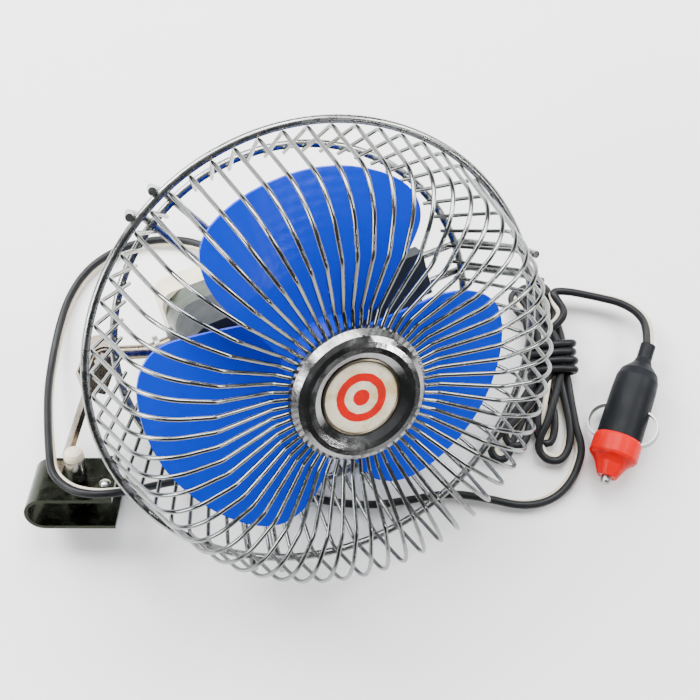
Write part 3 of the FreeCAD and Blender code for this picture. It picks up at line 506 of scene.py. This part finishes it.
# ---------------------------------------------------------------- materials on the CAD nodes
def dress(material, *names):
    for name in names:
        data = frame["nodes"][name].data
        data.materials.clear()
        data.materials.append(material)


dress(chrome("wire_chrome", (0.22, 0.232, 0.228), (0.14, 0.145, 0.135), 0.12, rust=0.25), "guard_wires")
dress(chrome("ring_chrome", (0.3, 0.31, 0.3), (0.18, 0.18, 0.165), 0.18, rust=0.5),
      "front_ring", "rear_ring", "guard_stay_top", "guard_stay_left", "guard_stay_right")
dress(chrome("cap_chrome", (0.28, 0.28, 0.28), (0.15, 0.15, 0.145), 0.1, rust=0.2, pit=0.6), "hub_cap")
dress(chrome("bezel_metal", (0.12, 0.1, 0.075), (0.06, 0.05, 0.035), 0.25, rust=0.3), "badge_bezel")
dress(chrome("stalk_chrome", (0.3, 0.25, 0.185), (0.22, 0.175, 0.13), 0.18, rust=0.2),
      "post", "yoke", "tilt_bolt", "tilt_nut", "arm_strap")
# the clamp's dark green tint is a painted reflection of a green surface, not the plating's own colour
dress(chrome("clamp_chrome", (0.035, 0.04, 0.028), (0.022, 0.024, 0.018), 0.16, rust=0.1),
      "c_clamp", "jaw_shoe", "clamp_pad")
dress(chrome("knob_chrome", (0.4, 0.4, 0.37), (0.26, 0.25, 0.22), 0.16, rust=0.2), "jaw_rivet", "clamp_screw")
dress(plain_steel,
      "hub_plate", "cap_stud", "cap_nut", "motor_can", "motor_plate", "cover_screws", "rotor_shaft",
      "rotor_core", "grub_screw", "post_flange", "post_collar", "crank_disc", "crank_link", "wheel_shaft",
      "clamp_nut", "plug_contact", "plug_side_springs")
dress(chrome("band_metal", (0.048, 0.065, 0.045), (0.036, 0.046, 0.034), 0.24), "motor_band")
dress(chrome("brass", (0.72, 0.52, 0.2), (0.45, 0.32, 0.12), 0.25),
      "front_bearing", "rear_bearing", "commutator", "brushes", "plug_fuse")
dress(chrome("copper", (0.6, 0.25, 0.1), (0.4, 0.15, 0.06), 0.3), "windings")
dress(plastic("dark_cover", (0.016, 0.02, 0.023), (0.026, 0.031, 0.034), 0.42,
              grain=1200, bump=0.12, shine=0.12),
      "motor_front_cover")
dress(plastic("cream_case", (0.74, 0.665, 0.5), (0.6, 0.52, 0.36), 0.28,
              grain=700, bump=0.06, shine=0.3),
      "gear_cover", "screw_cap")
dress(plastic("dark_nylon", (0.05, 0.05, 0.05), (0.08, 0.08, 0.08), 0.45),
      "worm", "worm_wheel", "swivel_bush", "motor_end_cap", "switch_slider", "strain_relief")
dress(plastic("ferrite", (0.05, 0.05, 0.055), (0.09, 0.09, 0.09), 0.6), "magnets")
dress(plastic("plug_black", (0.006, 0.007, 0.009), (0.012, 0.013, 0.016), 0.42,
              grain=800, bump=0.12, shine=0.12),
      "plug_body")
dress(plastic("plug_red", (0.66, 0.002, 0.002), (0.46, 0.0, 0.0), 0.2,
              grain=500, bump=0.05, shine=0.1),
      "plug_nose")
dress(blue_blades(), "impeller")
dress(ring_badge(), "badge")


# ---------------------------------------------------------------- floor and light
LIT_POINT = Vector((0.02, 0.0, 0.05))
# the studio's walls, from the horizon, 0, to straight up, 1: (height, colour)
SKY = ((0.0, (0.05, 0.05, 0.05, 1)), (0.6, (0.07, 0.075, 0.08, 1)), (1.0, (0.3, 0.31, 0.32, 1)))


def add_floor():
    bpy.ops.mesh.primitive_plane_add(size=6.0, location=(0, 0, -0.5 * MM))
    floor = bpy.context.object
    floor.name = "floor"
    nodes = Nodes("floor_white")
    colour = nodes.mix(nodes.noise(3, 2), (0.88, 0.88, 0.88), (0.92, 0.92, 0.92))
    nodes.set(Base_Color=colour, Roughness=0.75)
    floor.data.materials.append(nodes.material)


def add_area(name, place, width, power):
    """A square light of this width in metres and power in watts, turned to the fan."""
    lamp = bpy.data.lights.new(name, "AREA")
    lamp.energy = power
    lamp.size = width
    holder = bpy.data.objects.new(name, lamp)
    holder.location = place
    holder.rotation_euler = (LIT_POINT - Vector(place)).to_track_quat("-Z", "Y").to_euler()
    bpy.context.collection.objects.link(holder)


def add_world():
    world = bpy.data.worlds.new("studio")
    bpy.context.scene.world = world
    world.use_nodes = True
    tree = world.node_tree
    background = tree.nodes["Background"]
    coords = tree.nodes.new("ShaderNodeTexCoord")
    split = tree.nodes.new("ShaderNodeSeparateXYZ")
    ramp = tree.nodes.new("ShaderNodeValToRGB")
    stops = ramp.color_ramp.elements
    stops.new(0.5)
    for stop, (position, colour) in zip(stops, SKY):
        stop.position = position
        stop.color = colour
    tree.links.new(coords.outputs["Generated"], split.inputs[0])
    tree.links.new(split.outputs["Z"], ramp.inputs[0])
    tree.links.new(ramp.outputs[0], background.inputs[0])


add_floor()
add_world()
add_area("key", (-0.75, 0.7, 0.95), 0.7, 42)
add_area("overhead", (0.15, 0.75, 1.15), 0.8, 34)
add_area("side", (-0.9, -0.35, 0.7), 0.5, 14)
add_area("right", (0.95, 0.35, 0.75), 0.45, 14)
add_area("glint", (0.8, -0.5, 0.5), 0.09, 1.6)
